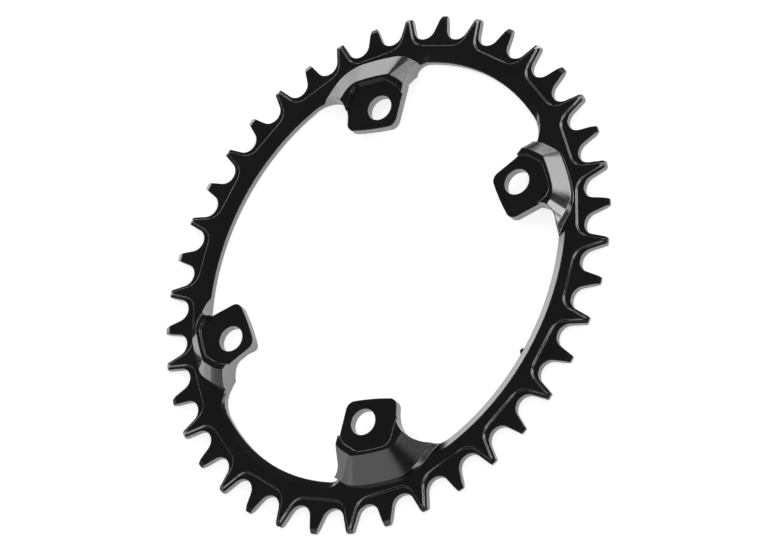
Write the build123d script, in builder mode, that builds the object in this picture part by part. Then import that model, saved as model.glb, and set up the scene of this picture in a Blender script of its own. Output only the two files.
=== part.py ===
"""Oval narrow-wide chainring with four raised bolt lugs, machined from one plate.

The ring lies on its back: +Z is its axis and points to the side with the raised lugs,
z = 0 is the back face and the origin is the centre of the crank axis. +X runs through
the middle of the narrow gap between two bolts.
"""
import os
from math import cos, hypot, pi, radians, sin, sqrt, tan

from build123d import *

# Chain and oval pitch curve
chain_pitch = 12.7
tooth_count = 40
oval_ratio = 0.8913  # minor axis over major axis
oval_turn = 18.0  # degrees from +X to the major axis

# Tooth outline, measured from the pitch chord
roller_seat_radius = 3.95
flank_angle = 14.0  # degrees between a flank and the middle line of its tooth
tooth_height = 4.75
tooth_tip_radius = 0.45

# Plate: narrow teeth are as thick as the core, wide teeth as the whole plate
core_thickness = 1.9
step_height = 0.8  # from the core to the plate's face, on both sides
step_run = 0.35  # by which the wall between them leans

# Ridge on a wide tooth and pocket round a narrow tooth, at the foot of that wall
ridge_inset = 0.8  # from the tooth flank
ridge_tip_half_width = 0.45
pocket_depth = 6.2  # from the pitch chord to the pocket's straight edge
pocket_corner_radius = 4.8

# Chamfers on the tooth tips
tip_chamfer_depth = 0.62  # below the face of the core
narrow_chamfer_angle = 21.0  # degrees from the face
wide_chamfer_angle = 38.0

# Inner edge, measured inwards from the pitch curve
rim_width = 12.65
bevel_start = 10.2
bevel_depth = 0.85
bevel_fillet_scale = 1.25  # by which the narrow gaps' fillets widen from the inner edge to the face

# Bolt pattern
bolt_circle_diameter = 110.0
bolt_gap_angle = 70.0  # degrees between the two bolts beside the X axis
bolt_hole_diameter = 8.7

# Lug, measured from its bolt hole along the radius and across it
lug_tip_reach = 7.05
lug_tip_bulge = 0.5  # of the tip beyond the line between its corners
lug_tip_slant = 4.0  # degrees between the tip and a line square to the radius
lug_narrow_side = 6.0  # towards the narrow gap, at the tip
lug_narrow_flare = 12.5  # degrees by which that side spreads
lug_tip_radius = 3.0
lug_thickness = 2.8
seat_height = 8.42  # of the lug's front face above the back of the plate

# Raised boss behind the seat, its rim measured from the bolt hole
boss_side = 11.1  # along X, and round the bolt below it
boss_end = 15.2  # along Y
boss_reach = 11.4  # along the radius
boss_rise = 1.15  # above the seat
boss_side_radius = 3.0
boss_end_radius = 7.0
boss_foot_height = 1.6  # of the upright wall above the plate's face
boss_foot_lean = 32.0  # degrees from upright, of that wall at the ends of the boss

# Pocket behind the lug
back_pocket_wall = 3.4  # from the foot of the ramp to the pocket at the back face
back_pocket_lean = 37.5  # degrees from upright, of the pocket's wall
back_pocket_radius = 4.0  # of its corners at the lug

# Seat recess for the crank arm, measured from the bolt hole
recess_side = 9.1  # along X, and round the bolt below it
recess_reach = 10.2  # along the radius
recess_end = 12.2  # square to the slanted end
recess_end_slant = 21.7  # degrees from the X axis
recess_side_radius = 2.5
recess_end_radius = 4.0

# Ramps, sides and root fillets of the lugs near the major axis and near the minor axis
major_ramp_run = 8.5
minor_ramp_run = 4.3
major_wide_side = 11.9  # across the radius, towards the wide gap between bolts
minor_wide_side = 11.4
major_flare_reach = 6.9  # along the radius, to where the narrow side turns parallel to it
minor_flare_reach = 20.0
major_narrow_fillet = 4.5
minor_narrow_fillet = 12.5
major_wide_fillet = 10.7
minor_wide_fillet = 4.2

# Alignment mark on the inner edge, on -Y
mark_height = 1.3
mark_width = 5.0
mark_tip_radius = 0.6

# Heights and places that follow from those sizes
plate_thickness = core_thickness + 2 * step_height
core_back = step_height
core_front = step_height + core_thickness
lug_underside = seat_height - lug_thickness
boss_top = seat_height + boss_rise
boss_foot_top = plate_thickness + boss_foot_height
bolt_radius = bolt_circle_diameter / 2
bolt_angle = bolt_gap_angle / 2
bolt_x = bolt_radius * cos(radians(bolt_angle))
bolt_y = bolt_radius * sin(radians(bolt_angle))
flank_lean = sin(radians(flank_angle))
flank_rise = cos(radians(flank_angle))
beyond = 20.0  # how far an outline reaches past what trims it
join_margin = 0.6  # from the pockets to where the toothed rim and the hub are joined
hub_edge = pocket_depth + step_run + join_margin


def walk_chain(half_major: float) -> list[float]:
    """Angles of the oval at which the roller centres lie, each one chain pitch from the last."""
    half_minor = half_major * oval_ratio
    angles = [0.0]
    for _ in range(tooth_count):
        angle = angles[-1]
        step = chain_pitch / hypot(half_major * sin(angle), half_minor * cos(angle))
        for _ in range(6):
            chord_x = half_major * (cos(angle + step) - cos(angle))
            chord_y = half_minor * (sin(angle + step) - sin(angle))
            step *= chain_pitch / hypot(chord_x, chord_y)
        angles.append(angle + step)
    return angles


def closed_half_major() -> float:
    """Half of the major axis at which the chain closes on itself after one turn."""
    low = chain_pitch * tooth_count / (2 * pi) * oval_ratio
    high = low / oval_ratio**3
    for _ in range(50):
        middle = (low + high) / 2
        if walk_chain(middle)[-1] > 2 * pi:
            low = middle
        else:
            high = middle
    return low


half_major = closed_half_major()
half_minor = half_major * oval_ratio
oval_plane = Plane.XY.rotated((0, 0, oval_turn))
roller_centres = [
    Vector(half_major * cos(angle), half_minor * sin(angle)) for angle in walk_chain(half_major)
]


def flank_line(tooth: int, side: int, inset: float) -> tuple[Vector, Vector]:
    """A point and the direction of a tooth flank, or of the line inset from it.

    The line touches the circle of the roller seat, widened by the inset. side is -1 for the
    flank beside the tooth's first roller and 1 for the flank beside its second.
    """
    outward = tooth_axis(tooth)
    across = Vector(-outward.Y, outward.X)
    to_flank = across * (-side * flank_rise) - outward * flank_lean
    roller = roller_centres[(tooth + (1 + side) // 2) % tooth_count]
    direction = outward * flank_rise - across * (side * flank_lean)
    return roller + to_flank * (roller_seat_radius + inset), direction


def tooth_axis(tooth: int) -> Vector:
    """Outward direction of a tooth, square to its pitch chord."""
    chord = roller_centres[(tooth + 1) % tooth_count] - roller_centres[tooth % tooth_count]
    return Vector(chord.Y, -chord.X).normalized()


def flank_point(tooth: int, side: int, inset: float, height: float, level_tooth: int) -> Vector:
    """Where a flank line reaches a height above the pitch chord of level_tooth."""
    point, direction = flank_line(tooth, side, inset)
    outward = tooth_axis(level_tooth)
    level = (point - roller_centres[level_tooth % tooth_count]).dot(outward)
    return point + direction * ((height - level) / direction.dot(outward))


def root_corner(tooth: int) -> Vector:
    """Where the flanks on both sides of the tooth's first roller would meet below it."""
    point, direction = flank_line(tooth, -1, 0)
    other_point, other_direction = flank_line(tooth - 1, 1, 0)
    normal = Vector(-other_direction.Y, other_direction.X)
    return point + direction * ((other_point - point).dot(normal) / direction.dot(normal))


def tooth_outline() -> None:
    """Draw the outline of all the teeth at the core."""
    corners = []
    radii = []
    for tooth in range(tooth_count):
        corners.append(root_corner(tooth))
        corners += [flank_point(tooth, side, 0, tooth_height, tooth) for side in (-1, 1)]
        radii += [roller_seat_radius, tooth_tip_radius, tooth_tip_radius]
    FilletPolyline(*corners, radius=radii, close=True)


def ridge_outline(run: float) -> None:
    """Draw the edge of the full plate thickness, drawn in by run from the foot of its wall."""
    inset = ridge_inset + run
    slot = (roller_seat_radius + inset) / flank_rise
    half_width_at_pitch = chain_pitch / 2 - slot
    tip_height = (half_width_at_pitch - ridge_tip_half_width + run) * flank_rise / flank_lean
    corners = []
    radii = []
    for tooth in range(1, tooth_count, 2):
        corners.append(flank_point(tooth, -1, inset, -pocket_depth - run, tooth - 1))
        corners += [flank_point(tooth, side, inset, tip_height, tooth) for side in (-1, 1)]
        corners.append(flank_point(tooth, 1, inset, -pocket_depth - run, tooth + 1))
        corner_radius = pocket_corner_radius + run
        radii += [corner_radius, 0, 0, corner_radius]
    FilletPolyline(*corners, radius=radii, close=True)


def oval_reach(offset: float, angle: float) -> float:
    """Distance from the axis to a parallel oval in a direction, in degrees from +X."""
    turned = radians(angle - oval_turn)
    return 1 / hypot(cos(turned) / (half_major + offset), sin(turned) / (half_minor + offset))


def parallel_oval(offset: float) -> Ellipse:
    """A closed oval that runs beside the pitch curve, offset outwards."""
    return Ellipse(half_major + offset, half_minor + offset)


def tip_corners(drop: float) -> list[Vector]:
    """Corners of the outline that passes the teeth where their chamfers have dropped this far."""
    corners = []
    for tooth in range(tooth_count):
        angle = wide_chamfer_angle if tooth % 2 else narrow_chamfer_angle
        lift = tooth_axis(tooth) * (tooth_height - drop / tan(radians(angle)))
        first, second = roller_centres[tooth : tooth + 2]
        inset = (second - first).normalized() * (roller_seat_radius / 2)
        corners += [first + inset + lift, second - inset + lift]
    return corners


# Envelope of the toothed rim, with the tips chamfered on both faces
full_drop = tip_chamfer_depth + step_height
envelope_levels = [
    (0, full_drop),
    (full_drop, 0),
    (plate_thickness - full_drop, 0),
    (plate_thickness, full_drop),
]
with BuildPart() as rim_envelope:
    for level, drop in envelope_levels:
        with BuildSketch(oval_plane.offset(level)):
            with BuildLine():
                Polyline(*tip_corners(drop), close=True)
            make_face()
    loft(ruled=True)
    with BuildSketch(oval_plane):
        parallel_oval(-hub_edge)
    extrude(amount=plate_thickness, mode=Mode.SUBTRACT)

# Bolt lugs: the signs of their place and what depends on the oval
lugs = [
    (1, 1, major_ramp_run, major_wide_side, major_flare_reach, major_narrow_fillet, major_wide_fillet),
    (1, -1, minor_ramp_run, minor_wide_side, minor_flare_reach, minor_narrow_fillet, minor_wide_fillet),
    (-1, -1, major_ramp_run, major_wide_side, major_flare_reach, major_narrow_fillet, major_wide_fillet),
    (-1, 1, minor_ramp_run, minor_wide_side, minor_flare_reach, minor_narrow_fillet, minor_wide_fillet),
]


def opening_face(width: float, narrow_scale: float) -> Face:
    """The ring's opening, width inside the pitch curve, with the lugs standing in it."""
    with BuildPart() as slab:
        with BuildSketch():
            Ellipse(half_major - width, half_minor - width, rotation=oval_turn)
            for x_sign, y_sign, _, wide_side, flare_reach, _, _ in lugs:
                lug = lug_plane(x_sign, y_sign)
                tip = lug_tip(wide_side)
                spread = lug_narrow_side + tan(radians(lug_narrow_flare)) * (lug_tip_reach + flare_reach)
                sides = [
                    tip[-1],
                    (flare_reach, -spread),
                    (2 * beyond, -spread),
                    (2 * beyond, wide_side),
                    tip[0],
                ]
                with BuildLine():
                    ThreePointArc(*[lug.from_local_coords(point) for point in tip])
                    Polyline(*[lug.from_local_coords(point) for point in sides])
                make_face(mode=Mode.SUBTRACT)
        extrude(amount=plate_thickness)
        for x_sign, y_sign, _, wide_side, _, narrow_fillet, wide_fillet in lugs:
            lug = lug_plane(x_sign, y_sign)
            wide_corner, _, narrow_corner = lug_tip(wide_side)
            roundings = [
                (beyond, -wide_side, narrow_fillet * narrow_scale),
                (beyond, wide_side, wide_fillet),
                (*wide_corner, lug_tip_radius),
                (*narrow_corner, lug_tip_radius),
            ]
            for along, across, radius in roundings:
                place = lug.from_local_coords((along, across))
                upright = slab.edges().filter_by(Axis.Z).sort_by_distance(place)[0]
                fillet(upright, radius)
    return slab.faces().sort_by(Axis.Z)[0]


def lug_tip(wide_side: float) -> list[tuple]:
    """The two corners of a lug's tip, with the top of its bulge between them."""
    slant = tan(radians(lug_tip_slant))
    middle = (wide_side - lug_narrow_side) / 2
    places = ((wide_side, 0), (middle, lug_tip_bulge), (-lug_narrow_side, 0))
    return [(across * slant - lug_tip_reach - bulge, across) for across, bulge in places]


def lug_plane(x_sign: int, y_sign: int) -> Plane:
    """Frame of a lug at its bolt hole: X along the radius, Y towards the wide gap."""
    centre = Vector(x_sign * bolt_x, y_sign * bolt_y)
    return Plane(centre, x_dir=centre, z_dir=(0, 0, x_sign * y_sign))


def corner_arc(along: Vector, square: Vector, offset: float, reach: float, radius: float) -> list[Vector]:
    """Arc that rounds the corner between a line and an arc about the axis, from the line to that arc.

    along is the direction of the line towards the corner, offset its distance from the axis in the
    direction square to it, and reach the radius of the arc about the axis.
    """
    inner = offset - radius
    centre = square * inner + along * sqrt((reach - radius) ** 2 - inner**2)
    outward = centre.normalized()
    middle = (square + outward).normalized()
    return [centre + square * radius, centre + middle * radius, centre + outward * radius]


def spider_face(signs: tuple, side: float, low: float, reach: float, end: tuple, radii: tuple) -> Face:
    """A face round a bolt: an arc about the bolt, a side along Y, an arc about the axis and an end.

    All is measured from the bolt: low is the radius of the first arc and not less than side, end
    holds the distance and the slant of the end line, and radii round the side's corner and the end's.
    """
    x_sign, y_sign = signs
    end_distance, end_slant = end
    bolt = Vector(bolt_x, bolt_y)
    outer = bolt_radius + reach
    along = Vector(cos(radians(end_slant)), sin(radians(end_slant)))
    square = Vector(-along.Y, along.X)
    side_corner = corner_arc(Vector(0, 1), Vector(1, 0), bolt_x + side, outer, radii[0])
    end_corner = corner_arc(along, square, bolt.dot(square) + end_distance, outer, radii[1])
    outer_middle = (side_corner[-1] + end_corner[-1]).normalized() * outer
    far = end_corner[0] - along * 2 * beyond
    to_low = Vector(0, -low)
    to_side = Vector(side, -sqrt(low**2 - side**2))
    bolt_middle = (to_low + to_side).normalized() * low
    chains = [
        side_corner,
        [side_corner[-1], outer_middle, end_corner[-1]],
        end_corner[::-1],
        [bolt + to_low, bolt + bolt_middle, bolt + to_side],
        [end_corner[0], far, Vector(far.X, bolt_y - low), bolt + to_low],
        [bolt + to_side, side_corner[0]],
    ]
    *arcs, end_lines, side_line = [
        [(x_sign * point.X, y_sign * point.Y) for point in chain] for chain in chains
    ]
    with BuildSketch() as outline:
        with BuildLine():
            for arc in arcs:
                ThreePointArc(*arc)
            Polyline(*end_lines)
            Line(*side_line)
        make_face()
    return outline.face()


def boss_face(signs: tuple, run: float, end_run: float, radii: tuple) -> Face:
    """Outline of a boss at its rim, widened by run at its sides and by end_run at its ends."""
    end = (boss_end + end_run, 0)
    return spider_face(signs, boss_side + run, boss_side + end_run, boss_reach + run, end, radii)


def recess_face(signs: tuple) -> Face:
    """Outline of the seat recess, with its slanted end."""
    end = (recess_end, recess_end_slant)
    radii = (recess_side_radius, recess_end_radius)
    return spider_face(signs, recess_side, recess_side, recess_reach, end, radii)


# Hub inside the toothed rim
land_opening = opening_face(rim_width, 1)
bevel_opening = opening_face(bevel_start, bevel_fillet_scale)
with BuildPart() as hub:
    with BuildSketch(oval_plane):
        parallel_oval(-hub_edge)
    extrude(amount=plate_thickness)
    for face_height, land_height in ((plate_thickness, plate_thickness - bevel_depth), (0, bevel_depth)):
        for height, outline in ((land_height, land_opening), (face_height, bevel_opening)):
            with BuildSketch(Plane.XY.offset(height)):
                add(outline)
        loft(ruled=True, mode=Mode.SUBTRACT)

    # Bosses: a foot that starts inside the plate, and the ramp from there to the rim
    boss_root = plate_thickness / 2
    foot_run = (boss_foot_top - boss_root) * tan(radians(boss_foot_lean))
    for x_sign, y_sign, ramp_run, *_ in lugs:
        sections = [
            (boss_root, ramp_run, ramp_run + foot_run),
            (boss_foot_top, ramp_run, ramp_run),
            (boss_top, 0, 0),
        ]
        for height, run, end_run in sections:
            radii = (boss_side_radius + run, boss_end_radius + run)
            with BuildSketch(Plane.XY.offset(height)):
                add(boss_face((x_sign, y_sign), run, end_run, radii))
        loft(ruled=True)

    # Opening, seats, pockets behind the lugs and bolt holes
    with BuildSketch():
        add(land_opening)
    extrude(amount=boss_top, mode=Mode.SUBTRACT)
    pocket_run = lug_underside * tan(radians(back_pocket_lean))
    for x_sign, y_sign, ramp_run, *_ in lugs:
        with BuildSketch(Plane.XY.offset(seat_height)):
            add(recess_face((x_sign, y_sign)))
        extrude(amount=boss_rise, mode=Mode.SUBTRACT)
        back_run = ramp_run - back_pocket_wall
        for height, drawn_in in ((0, 0), (lug_underside, pocket_run)):
            run = back_run - drawn_in
            radius = back_pocket_radius + pocket_run - drawn_in
            with BuildSketch(Plane.XY.offset(height)):
                add(boss_face((x_sign, y_sign), run, run, (radius, radius)))
        loft(ruled=True, mode=Mode.SUBTRACT)
        with Locations((x_sign * bolt_x, y_sign * bolt_y, boss_top)):
            Hole(bolt_hole_diameter / 2)

    # Alignment mark
    mark_y = -oval_reach(-rim_width, -90)
    with BuildSketch(Plane.XY.offset(bevel_depth)):
        with BuildLine():
            FilletPolyline(
                (-mark_width / 2, mark_y - mark_height),
                (0, mark_y + mark_height),
                (mark_width / 2, mark_y - mark_height),
                radius=mark_tip_radius,
            )
            Line((mark_width / 2, mark_y - mark_height), (-mark_width / 2, mark_y - mark_height))
        make_face()
    extrude(amount=plate_thickness - 2 * bevel_depth)

# Toothed rim, joined to the hub
with BuildPart() as chainring:
    with BuildSketch(oval_plane.offset(core_back)):
        with BuildLine():
            tooth_outline()
        make_face()
    extrude(amount=core_thickness)
    for core_face, plate_face in ((core_front, plate_thickness), (core_back, 0)):
        for height, run in ((core_face, 0), (plate_face, step_run)):
            with BuildSketch(oval_plane.offset(height)):
                with BuildLine():
                    ridge_outline(run)
                make_face()
        loft(ruled=True)
    add(rim_envelope.part, mode=Mode.INTERSECT)
    add(hub.part)

os.makedirs("parts", exist_ok=True)
chainring.part.label = "chainring"
export_step(chainring.part, "parts/chainring.step")
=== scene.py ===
"""Studio scene of an oval narrow-wide chainring, machined from one plate and anodised black.

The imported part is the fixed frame. This script gives it a procedural finish, lays it on a pale
floor under studio light and places the camera. Lengths are in metres, in the frame of the part:
+Z is the ring's axis and z = 0 the face it lies on.
"""

import logging
import math
from dataclasses import dataclass, field
from enum import Enum

import bpy
from mathutils import Matrix, Vector

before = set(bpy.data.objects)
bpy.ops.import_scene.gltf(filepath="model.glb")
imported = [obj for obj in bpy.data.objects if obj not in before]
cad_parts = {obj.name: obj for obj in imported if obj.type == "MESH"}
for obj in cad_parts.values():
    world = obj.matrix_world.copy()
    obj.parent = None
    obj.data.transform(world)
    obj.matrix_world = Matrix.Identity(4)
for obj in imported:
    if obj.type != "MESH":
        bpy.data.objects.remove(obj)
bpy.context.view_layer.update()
LOG = logging.getLogger("chainring")
WHITE = (1.0, 1.0, 1.0, 1.0)
# What a ramp that goes down is mapped to
FALLING = (1.0, 0.0)
# Length of one wave of Blender's wave texture at a scale of one
UNIT_WAVE = math.pi / 10.0
# Fineness and pace of the strays of a cutter's marks from a true line
WAVER_DETAIL = 2.0
WAVER_PACE = 1.5
# Angle of a ramp's direction from X towards Y at which its marks start and at which they are full
RAMP_TURN = (math.radians(58.0), math.radians(74.0))
# Share of Y in that direction over which they fade
FACING_FADE = 0.08
# Metres that a height of one stands for in the relief of the metal
RELIEF_UNIT = 1.0


class Ray(Enum):
    """Kinds of ray that a pale surface shows itself to, as Light Path names them."""

    CAMERA = "Is Camera Ray"
    GLOSSY = "Is Glossy Ray"
    TRANSMISSION = "Is Transmission Ray"


class Mark(Enum):
    """Directions in which a cutter leaves its fine marks on the metal."""

    TURNED = ("RINGS", "Z")
    LEVEL = ("BANDS", "Z")
    DOWNHILL = ("BANDS", "X")


@dataclass
class NodeGraph:
    """The node tree of a material or of the world, with short calls for adding to it.

    Attributes:
        owner: The material or the world, whose nodes are turned on and emptied.
    """

    owner: bpy.types.Material | bpy.types.World

    def __post_init__(self) -> None:
        """Turn the nodes on and empty the tree."""
        self.owner.use_nodes = True
        self.owner.node_tree.nodes.clear()

    def add(self, kind: str, **settings: object) -> bpy.types.Node:
        """Add a node.

        Args:
            kind: The node's type name without its "ShaderNode" start.
            settings: Properties of the node and their values.

        Returns:
            The new node.
        """
        node = self.owner.node_tree.nodes.new("ShaderNode" + kind)
        for name, value in settings.items():
            setattr(node, name, value)
        return node

    def feed(self, socket: bpy.types.NodeSocket, value: object) -> None:
        """Give an input a link or a constant.

        Args:
            socket: The input.
            value: An output socket to link from, or the constant.
        """
        if isinstance(value, bpy.types.NodeSocket):
            self.owner.node_tree.links.new(value, socket)
        else:
            socket.default_value = value

    def math(self, operation: str, first: object, second: object = 0.0) -> bpy.types.NodeSocket:
        """Calculate with one or two values.

        Args:
            operation: The Math node's operation.
            first: The first socket or number.
            second: The second socket or number.

        Returns:
            The result's socket.
        """
        node = self.add("Math", operation=operation)
        self.feed(node.inputs[0], first)
        self.feed(node.inputs[1], second)
        return node.outputs[0]

    def split(self, vector: bpy.types.NodeSocket) -> bpy.types.NodeOutputs:
        """Split a vector.

        Args:
            vector: The vector's socket.

        Returns:
            The sockets of its parts, by the names X, Y and Z.
        """
        node = self.add("SeparateXYZ")
        self.feed(node.inputs["Vector"], vector)
        return node.outputs

    def ramp(
        self,
        value: bpy.types.NodeSocket,
        source: tuple[float, float],
        target: tuple[float, float] = (0.0, 1.0),
        smooth: bool = False,
    ) -> bpy.types.NodeSocket:
        """Map a value from one range to another, held at both ends.

        Args:
            value: The value's socket.
            source: Where the range starts and ends.
            target: What it is mapped to.
            smooth: Whether the ends of the ramp are eased.

        Returns:
            The mapped value's socket.
        """
        node = self.add("MapRange", interpolation_type="SMOOTHSTEP" if smooth else "LINEAR")
        self.feed(node.inputs["Value"], value)
        names = ("From Min", "From Max", "To Min", "To Max")
        for name, number in zip(names, (*source, *target)):
            node.inputs[name].default_value = number
        return node.outputs["Result"]

    def noise(
        self, place: bpy.types.NodeSocket, size: float, detail: float
    ) -> bpy.types.NodeSocket:
        """Noise with patches of a size.

        Args:
            place: The place on the surface.
            size: Size of the patches.
            detail: How many finer layers it has.

        Returns:
            The noise's socket.
        """
        node = self.add("TexNoise")
        self.feed(node.inputs["Vector"], place)
        self.feed(node.inputs["Scale"], 1.0 / size)
        self.feed(node.inputs["Detail"], detail)
        return node.outputs["Fac"]

    def tint(
        self, value: bpy.types.NodeSocket, shades: tuple[float, float], blue: float = 1.0
    ) -> bpy.types.NodeSocket:
        """Colour between two shades of grey.

        Args:
            value: The socket that goes from zero at the darkest shade to one at the lightest.
            shades: The darkest and the lightest shade.
            blue: Blue in them, as a multiple of their red and green.

        Returns:
            The colour's socket.
        """
        node = self.add("ValToRGB")
        self.feed(node.inputs["Fac"], value)
        for element, shade in zip(node.color_ramp.elements, shades):
            element.color = (shade, shade, shade * blue, 1.0)
        return node.outputs["Color"]

    def seen_by(self, *rays: Ray) -> bpy.types.NodeSocket:
        """One for the named kinds of ray and zero for the others.

        Args:
            rays: The kinds of ray.

        Returns:
            The value's socket.
        """
        path = self.add("LightPath")
        total = path.outputs[rays[0].value]
        for ray in rays[1:]:
            total = self.math("MAXIMUM", total, path.outputs[ray.value])
        return total

    def show(self, kind: str, shader: bpy.types.NodeSocket) -> None:
        """Show a shader through an output node of a kind."""
        self.feed(self.add(kind).inputs["Surface"], shader)


@dataclass(frozen=True)
class CutterMarks:
    """Fine parallel marks that a cutter left.

    Attributes:
        mark: The marks' direction.
        spacing: Distance between two marks.
        depth: Height of the marks.
        waver: How far they stray from a true line, as a share of the spacing.
        facing: Least and greatest share of Y in the direction of a slope that carries them,
            on the ramps that face along Y. The marks are everywhere without it.
    """

    mark: Mark
    spacing: float
    depth: float
    waver: float
    facing: tuple[float, float] | None = None

    def relief(self, graph: NodeGraph, place: bpy.types.NodeSocket) -> bpy.types.NodeSocket:
        """Height of the marks at a place.

        Args:
            graph: The material's graph.
            place: The place on the metal.

        Returns:
            The height's socket, in metres.
        """
        kind, axis = self.mark.value
        wave = graph.add("TexWave", wave_type=kind, rings_direction=axis, bands_direction=axis)
        graph.feed(wave.inputs["Vector"], place)
        graph.feed(wave.inputs["Scale"], UNIT_WAVE / self.spacing)
        graph.feed(wave.inputs["Distortion"], self.waver)
        graph.feed(wave.inputs["Detail"], WAVER_DETAIL)
        graph.feed(wave.inputs["Detail Scale"], WAVER_PACE)
        height = graph.math("MULTIPLY", wave.outputs["Fac"], self.depth)
        if self.facing is None:
            return height
        return graph.math("MULTIPLY", height, self._on_ramps(graph, *self.facing))

    def _on_ramps(self, graph: NodeGraph, least: float, greatest: float) -> bpy.types.NodeSocket:
        """One on the ramps that carry the marks and zero elsewhere.

        Args:
            graph: The material's graph.
            least: Least share of Y in the ramp's direction.
            greatest: Greatest share of Y in it.

        Returns:
            The value's socket.
        """
        facing = graph.split(graph.add("NewGeometry").outputs["Normal"])
        along, across = (graph.math("ABSOLUTE", facing[axis]) for axis in "YX")
        turned = graph.ramp(graph.math("ARCTAN2", along, across), RAMP_TURN, smooth=True)
        steep = graph.ramp(along, (least - FACING_FADE, least), smooth=True)
        gentle = graph.ramp(along, (greatest, greatest + FACING_FADE), FALLING, smooth=True)
        return graph.math("MULTIPLY", turned, graph.math("MULTIPLY", steep, gentle))


@dataclass(frozen=True)
class BlackAnodise:
    """Black anodised aluminium with the grain of the etch and the marks of the cutters.

    Attributes:
        name: Name of the material.
        shades: Darkest and lightest shade of the dye.
        blue: Blue of the dye, as a multiple of its red and green.
        gloss: Lowest and highest roughness.
        index: Refractive index that gives the shine of the oxide and of the metal under it.
        blotch: Size of the dye's cloudy patches.
        grain: Size of the etched grain.
        grain_depth: Height of that grain.
        grain_share: Share of the grain in the roughness, where the rest is the patches'.
        detail: How many finer layers the patches and the grain have.
        dye_range: Range of the patches' noise from the darkest shade to the lightest.
        gloss_range: Range of the mixed noise from the lowest roughness to the highest.
        edge_radius: Radius to which the sharp edges are broken in the shading.
        edge_samples: Number of samples that find those edges.
        marks: Marks of the cutters.
    """

    name: str = "black_anodise"
    shades: tuple[float, float] = (0.003, 0.0065)
    blue: float = 1.04
    gloss: tuple[float, float] = (0.13, 0.19)
    index: float = 2.9
    blotch: float = 0.012
    grain: float = 0.00035
    grain_depth: float = 0.0000006
    grain_share: float = 0.5
    detail: float = 3.0
    dye_range: tuple[float, float] = (0.3, 0.7)
    gloss_range: tuple[float, float] = (0.35, 0.65)
    edge_radius: float = 0.00045
    edge_samples: int = 6
    marks: tuple[CutterMarks, ...] = (
        CutterMarks(Mark.TURNED, spacing=0.0009, depth=0.0000005, waver=0.6),
        CutterMarks(Mark.LEVEL, spacing=0.0006, depth=0.00003, waver=1.6, facing=(0.38, 0.56)),
        CutterMarks(Mark.DOWNHILL, spacing=0.0022, depth=0.00003, waver=0.2, facing=(0.66, 0.92)),
    )

    def material(self) -> bpy.types.Material:
        """Build the material.

        Returns:
            The material.
        """
        material = bpy.data.materials.new(self.name)
        graph = NodeGraph(material)
        place = graph.add("TexCoord").outputs["Object"]
        patches = graph.noise(place, self.blotch, self.detail)
        grain = graph.noise(place, self.grain, self.detail)
        dye = graph.tint(graph.ramp(patches, self.dye_range), self.shades, self.blue)

        shader = graph.add("BsdfPrincipled")
        shader.inputs["IOR"].default_value = self.index
        graph.feed(shader.inputs["Base Color"], dye)
        graph.feed(shader.inputs["Roughness"], self._roughness(graph, patches, grain))
        graph.feed(shader.inputs["Normal"], self._normal(graph, place, grain))
        graph.show("OutputMaterial", shader.outputs["BSDF"])
        return material

    def _roughness(
        self, graph: NodeGraph, patches: bpy.types.NodeSocket, grain: bpy.types.NodeSocket
    ) -> bpy.types.NodeSocket:
        """Roughness that follows the dye's patches and the grain.

        Args:
            graph: The material's graph.
            patches: The patches' noise.
            grain: The grain's noise.

        Returns:
            The roughness's socket.
        """
        from_patches = graph.math("MULTIPLY", patches, 1.0 - self.grain_share)
        from_grain = graph.math("MULTIPLY", grain, self.grain_share)
        mixed = graph.math("ADD", from_patches, from_grain)
        return graph.ramp(mixed, self.gloss_range, self.gloss)

    def _normal(
        self, graph: NodeGraph, place: bpy.types.NodeSocket, grain: bpy.types.NodeSocket
    ) -> bpy.types.NodeSocket:
        """Direction of the metal's surface with broken edges, grain and cutter marks.

        Args:
            graph: The material's graph.
            place: The place on the metal.
            grain: The grain's noise.

        Returns:
            The direction's socket.
        """
        height = graph.math("MULTIPLY", grain, self.grain_depth)
        for marks in self.marks:
            height = graph.math("ADD", height, marks.relief(graph, place))
        edges = graph.add("Bevel", samples=self.edge_samples)
        edges.inputs["Radius"].default_value = self.edge_radius
        bump = graph.add("Bump")
        bump.inputs["Distance"].default_value = RELIEF_UNIT
        graph.feed(bump.inputs["Normal"], edges.outputs["Normal"])
        graph.feed(bump.inputs["Height"], height)
        return bump.outputs["Normal"]


@dataclass(frozen=True)
class PalePaper:
    """Matt pale paper of the studio floor, which shows white and keeps the shadows.

    Attributes:
        name: Name of the material.
        shades: Darkest and lightest shade of the paper.
        fibre: Size of its mottling.
        detail: How many finer layers the mottling has.
        lift: Brightness that it shows of itself, beside the light that falls on it.
    """

    name: str = "pale_paper"
    shades: tuple[float, float] = (0.83, 0.86)
    fibre: float = 0.004
    detail: float = 2.0
    lift: float = 0.74

    def material(self) -> bpy.types.Material:
        """Build the material.

        Returns:
            The material.
        """
        material = bpy.data.materials.new(self.name)
        graph = NodeGraph(material)
        place = graph.add("TexCoord").outputs["Object"]
        paper = graph.add("BsdfDiffuse")
        mottling = graph.noise(place, self.fibre, self.detail)
        graph.feed(paper.inputs["Color"], graph.tint(mottling, self.shades))

        glow = graph.add("Emission")
        shown = graph.seen_by(Ray.CAMERA, Ray.GLOSSY, Ray.TRANSMISSION)
        graph.feed(glow.inputs["Strength"], graph.math("MULTIPLY", shown, self.lift))
        both = graph.add("AddShader")
        graph.feed(both.inputs[0], paper.outputs["BSDF"])
        graph.feed(both.inputs[1], glow.outputs["Emission"])
        graph.show("OutputMaterial", both.outputs["Shader"])
        return material


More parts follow.
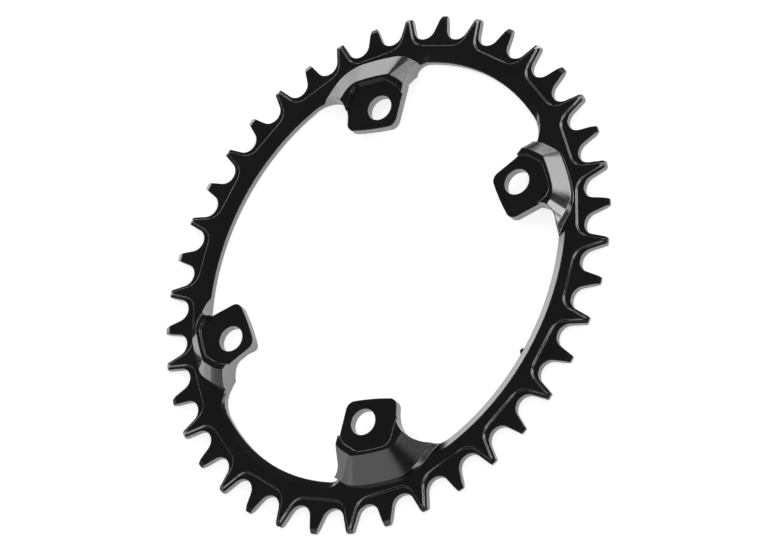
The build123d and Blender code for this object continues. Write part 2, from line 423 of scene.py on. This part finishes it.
@dataclass
class Chainring:
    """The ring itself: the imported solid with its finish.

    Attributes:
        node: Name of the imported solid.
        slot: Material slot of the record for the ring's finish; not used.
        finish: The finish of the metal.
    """

    node: str = "chainring"
    slot: str = "anodised"
    finish: BlackAnodise = field(default_factory=BlackAnodise)

    def dress(self) -> bpy.types.Object:
        """Give the solid its finish.

        Returns:
            The solid's object.
        """
        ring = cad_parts[self.node]
        ring.data.materials.clear()
        ring.data.materials.append(self.finish.material())
        return ring


@dataclass
class StudioFloor:
    """The floor under the ring.

    Attributes:
        name: Name of the piece.
        half_width: Half of its width.
        gap: Distance below the ring, so that the two faces don't fight.
        finish: The floor's paper.
    """

    name: str = "studio_floor"
    half_width: float = 3.0
    gap: float = 0.00002
    finish: PalePaper = field(default_factory=PalePaper)

    def build(self) -> bpy.types.Object:
        """Lay the floor.

        Returns:
            The floor's object.
        """
        mesh = bpy.data.meshes.new(self.name)
        reach = self.half_width
        corners = [(-reach, -reach), (reach, -reach), (reach, reach), (-reach, reach)]
        mesh.from_pydata([(x, y, -self.gap) for x, y in corners], [], [(0, 1, 2, 3)])
        mesh.materials.append(self.finish.material())
        floor = bpy.data.objects.new(self.name, mesh)
        bpy.context.scene.collection.objects.link(floor)
        return floor


@dataclass(frozen=True)
class Panel:
    """A lit panel of the studio, as the ring's bright metal sees it. Angles are in degrees.

    Attributes:
        azimuth: Direction of its middle, from +X towards +Y.
        half_width: Angle from its middle to its side.
        side_blur: Width over which its sides fade.
        low: Elevation of its lower edge.
        high: Elevation of its upper edge.
        edge_blur: Width over which those edges fade.
        radiance: Brightness.
    """

    azimuth: float
    half_width: float
    side_blur: float
    low: float
    high: float
    edge_blur: float
    radiance: float

    def light(
        self,
        graph: NodeGraph,
        toward: bpy.types.NodeSocket,
        elevation: bpy.types.NodeSocket,
    ) -> bpy.types.NodeSocket:
        """Brightness that the panel adds in a direction.

        Args:
            graph: The world's graph.
            toward: The direction.
            elevation: Its angle above the horizon, in radians.

        Returns:
            The brightness's socket.
        """
        turn = graph.add("VectorRotate", rotation_type="Z_AXIS")
        graph.feed(turn.inputs["Vector"], toward)
        graph.feed(turn.inputs["Angle"], -math.radians(self.azimuth))
        turned = graph.split(turn.outputs["Vector"])
        aside = graph.math("ABSOLUTE", graph.math("ARCTAN2", turned["Y"], turned["X"]))
        side, low, high = (math.radians(a) for a in (self.half_width, self.low, self.high))
        side_blur, edge_blur = (math.radians(a) for a in (self.side_blur, self.edge_blur))
        within = graph.ramp(aside, (side, side + side_blur), FALLING, smooth=True)
        above = graph.ramp(elevation, (low - edge_blur, low), smooth=True)
        below = graph.ramp(elevation, (high, high + edge_blur), FALLING, smooth=True)
        mask = graph.math("MULTIPLY", within, graph.math("MULTIPLY", above, below))
        return graph.math("MULTIPLY", mask, self.radiance)


@dataclass
class StudioRoom:
    """The room round the ring: a dark ceiling over a dim horizon, with lit panels.

    Attributes:
        name: Name of the world.
        horizon: Brightness at the horizon.
        ceiling: Brightness of the ceiling.
        horizon_top: Elevation at which the horizon starts to fade, in degrees.
        ceiling_foot: Elevation at which the ceiling starts, in degrees.
        panels: The lit panels, in the order of their directions.
    """

    name: str = "studio_room"
    horizon: float = 0.05
    ceiling: float = 0.032
    horizon_top: float = 4.0
    ceiling_foot: float = 20.0
    panels: tuple[Panel, ...] = (
        Panel(-87, half_width=8, side_blur=28, low=67, high=71, edge_blur=6, radiance=0.48),
        Panel(-85, half_width=28, side_blur=6, low=15, high=24, edge_blur=2, radiance=2.6),
        Panel(-80, half_width=3, side_blur=9, low=29, high=36, edge_blur=3, radiance=2.7),
        Panel(-28, half_width=12, side_blur=5, low=1, high=12, edge_blur=2, radiance=3.2),
        Panel(-12, half_width=9, side_blur=30, low=8, high=24, edge_blur=10, radiance=1.85),
        Panel(34, half_width=8, side_blur=3, low=17, high=34, edge_blur=4, radiance=1.08),
        Panel(35, half_width=8, side_blur=3, low=5, high=11, edge_blur=2, radiance=3.4),
        Panel(73, half_width=18, side_blur=5, low=-6, high=10, edge_blur=3, radiance=1.6),
        Panel(88, half_width=10, side_blur=4, low=13, high=22, edge_blur=3, radiance=1.9),
        Panel(105, half_width=12, side_blur=3, low=4, high=15, edge_blur=2, radiance=1.2),
        Panel(133, half_width=6, side_blur=5, low=18, high=27, edge_blur=4, radiance=0.6),
        Panel(145, half_width=18, side_blur=8, low=-4, high=10, edge_blur=8, radiance=0.22),
        Panel(148, half_width=8, side_blur=3, low=24, high=42, edge_blur=5, radiance=0.34),
        Panel(178, half_width=14, side_blur=25, low=26, high=60, edge_blur=6, radiance=0.34),
    )

    def build(self) -> bpy.types.World:
        """Make the room the scene's world.

        Returns:
            The world.
        """
        world = bpy.data.worlds.new(self.name)
        graph = NodeGraph(world)
        toward = graph.add("TexCoord").outputs["Generated"]
        elevation = graph.math("ARCSINE", graph.split(toward)["Z"])
        fade = (math.radians(self.horizon_top), math.radians(self.ceiling_foot))
        light = graph.ramp(elevation, fade, (self.horizon, self.ceiling), smooth=True)
        for panel in self.panels:
            light = graph.math("ADD", light, panel.light(graph, toward, elevation))

        room, backdrop = (graph.add("Background") for _ in range(2))
        for background in (room, backdrop):
            background.inputs["Color"].default_value = WHITE
        graph.feed(room.inputs["Strength"], light)
        shown = graph.add("MixShader")
        graph.feed(shown.inputs["Fac"], graph.seen_by(Ray.CAMERA, Ray.TRANSMISSION))
        graph.feed(shown.inputs[1], room.outputs["Background"])
        graph.feed(shown.inputs[2], backdrop.outputs["Background"])
        graph.show("OutputWorld", shown.outputs["Shader"])
        bpy.context.scene.world = world
        return world


@dataclass(frozen=True)
class OverheadLight:
    """A broad soft lamp above the ring, which lights the floor but isn't mirrored.

    Attributes:
        name: Name of the lamp.
        place: Where it hangs.
        width: Width of its square face.
        power: Power in watts.
    """

    name: str = "overhead_light"
    place: tuple[float, float, float] = (0.22, 0.10, 0.75)
    width: float = 0.9
    power: float = 1.8

    def build(self) -> bpy.types.Object:
        """Hang the lamp, aimed at the ring.

        Returns:
            The lamp's object.
        """
        lamp = bpy.data.lights.new(self.name, "AREA")
        lamp.size = self.width
        lamp.energy = self.power
        light = bpy.data.objects.new(self.name, lamp)
        light.location = self.place
        light.rotation_mode = "QUATERNION"
        light.rotation_quaternion = (-Vector(self.place)).to_track_quat("-Z", "Y")
        light.visible_glossy = False
        light.visible_camera = False
        bpy.context.scene.collection.objects.link(light)
        return light


@dataclass(frozen=True)
class PhotoCamera:
    """The camera at the photograph's place.

    Attributes:
        name: Name of the camera.
        place: Where it stands.
        ahead: Direction it looks in.
        up: Direction of the picture's upper edge.
        lens: Focal length in millimetres.
        sensor: Width of the picture on the sensor in millimetres.
        nearest: Distance from which it sees.
        farthest: Distance to which it sees.
    """

    name: str = "photo_camera"
    place: tuple[float, float, float] = (-0.0567575, -0.6147233, 0.8107294)
    ahead: tuple[float, float, float] = (0.05509516, 0.60120182, -0.79719565)
    up: tuple[float, float, float] = (0.84059285, 0.40295537, 0.36198153)
    lens: float = 145.30
    sensor: float = 36.0
    nearest: float = 0.01
    farthest: float = 20.0

    def build(self) -> bpy.types.Object:
        """Set the camera up as the scene's camera.

        Returns:
            The camera's object.
        """
        data = bpy.data.cameras.new(self.name)
        data.sensor_fit = "HORIZONTAL"
        data.sensor_width = self.sensor
        data.lens = self.lens
        data.clip_start = self.nearest
        data.clip_end = self.farthest
        ahead = Vector(self.ahead).normalized()
        right = ahead.cross(Vector(self.up)).normalized()
        axes = (right, right.cross(ahead), -ahead)
        camera = bpy.data.objects.new(self.name, data)
        turn = Matrix(axes).transposed().to_4x4()
        camera.matrix_world = Matrix.Translation(self.place) @ turn
        bpy.context.scene.collection.objects.link(camera)
        bpy.context.scene.camera = camera
        return camera


def main() -> None:
    """Build the scene: the ring, then its floor, its lamp, the camera and the room."""
    logging.basicConfig(level=logging.INFO, format="%(name)s: %(message)s")
    bpy.context.scene.view_settings.view_transform = "Standard"
    stage = (StudioFloor(), OverheadLight(), PhotoCamera(), StudioRoom())
    for make in (Chainring().dress, *(piece.build for piece in stage)):
        LOG.info("made %s", make().name)


if __name__ == "__main__":
    main()
